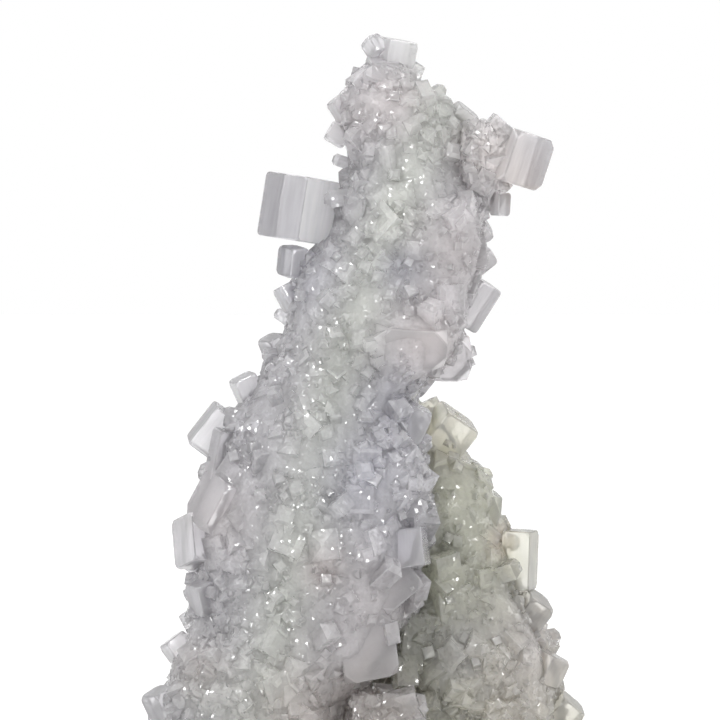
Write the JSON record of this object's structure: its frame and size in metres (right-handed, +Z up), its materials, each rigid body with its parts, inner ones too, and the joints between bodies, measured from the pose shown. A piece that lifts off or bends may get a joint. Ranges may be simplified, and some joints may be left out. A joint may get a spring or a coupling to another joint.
{
  "type": "apophyllite",
  "caption": "Apophyllite crystal cluster: a tall leaning spire and a shorter one behind it, crusted with blocky square crystals, cut flat at the foot.",
  "frame": {"origin": "on the flat foot, under the middle of the cluster", "axes": "+Z up along the spires, +X to the right as the tall spire is seen in front of the short one, +Y away from that view"},
  "size_m": [0.0585, 0.0384, 0.0963],
  "materials": {
    "clear_crystal": "milky and vitreous, colourless with a faint sage and lavender cast",
    "olive_crystal": "milky and vitreous, faint olive green"
  },
  "bodies": {
    "root": {"tall_spire": "clear_crystal", "short_spire": "olive_crystal"}
  },
  "joints": []
}
